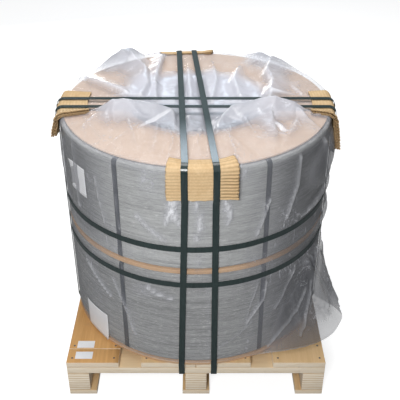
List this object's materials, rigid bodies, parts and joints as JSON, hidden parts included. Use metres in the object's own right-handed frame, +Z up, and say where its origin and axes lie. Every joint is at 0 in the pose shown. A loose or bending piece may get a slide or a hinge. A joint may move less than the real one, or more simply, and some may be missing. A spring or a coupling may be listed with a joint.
{
  "type": "palletised coils of steel wire",
  "caption": "Stacked coils of fine steel wire on a wooden pallet, in a clear film bag with corrugated edge pads and dark straps, ready for a forklift.",
  "frame": {"origin": "on the floor, under the middle of the pallet and of the coils' bore", "axes": "+Z up along the bore; the front of the load faces -Y, and the loose tail of the film is on the +X side"},
  "size_m": [0.9605, 0.8836, 0.9261],
  "materials": {
    "pallet_wood": "sawn softwood",
    "ring_board": "raw fibreboard",
    "card": "raw kraft board",
    "wire": "drawn, satin",
    "band": "satin black",
    "strap": "smooth, glossy",
    "film": "clear, creased",
    "paper": "matt"
  },
  "bodies": {
    "root": {"deck_board_1": "pallet_wood", "deck_board_2": "pallet_wood", "deck_board_3": "pallet_wood", "deck_board_4": "pallet_wood", "cross_board_1": "pallet_wood", "cross_board_2": "pallet_wood", "cross_board_3": "pallet_wood", "block_1": "pallet_wood", "block_2": "pallet_wood", "block_3": "pallet_wood", "block_4": "pallet_wood", "block_5": "pallet_wood", "block_6": "pallet_wood", "block_7": "pallet_wood", "block_8": "pallet_wood", "block_9": "pallet_wood", "bottom_board_1": "pallet_wood", "bottom_board_2": "pallet_wood", "bottom_board_3": "pallet_wood", "base_ring": "ring_board", "lower_coil": "wire", "middle_ring": "ring_board", "upper_coil": "wire", "cover_ring": "card", "lower_band_1": "band", "lower_band_2": "band", "lower_band_3": "band", "lower_band_4": "band", "lower_band_5": "band", "lower_band_6": "band", "upper_band_1": "band", "upper_band_2": "band", "upper_band_3": "band", "upper_band_4": "band", "upper_band_5": "band", "upper_band_6": "band", "film_bag": "film", "edge_pad_front": "card", "edge_pad_back": "card", "edge_pad_left": "card", "edge_pad_right": "card", "girth_strap_lower": "strap", "girth_strap_upper": "strap", "strap_front_left": "strap", "strap_front_right": "strap", "strap_side_near": "strap", "strap_side_far": "strap", "label_lower": "paper", "label_upper": "paper", "sticker_1": "paper", "sticker_2": "paper"}
  },
  "joints": []
}
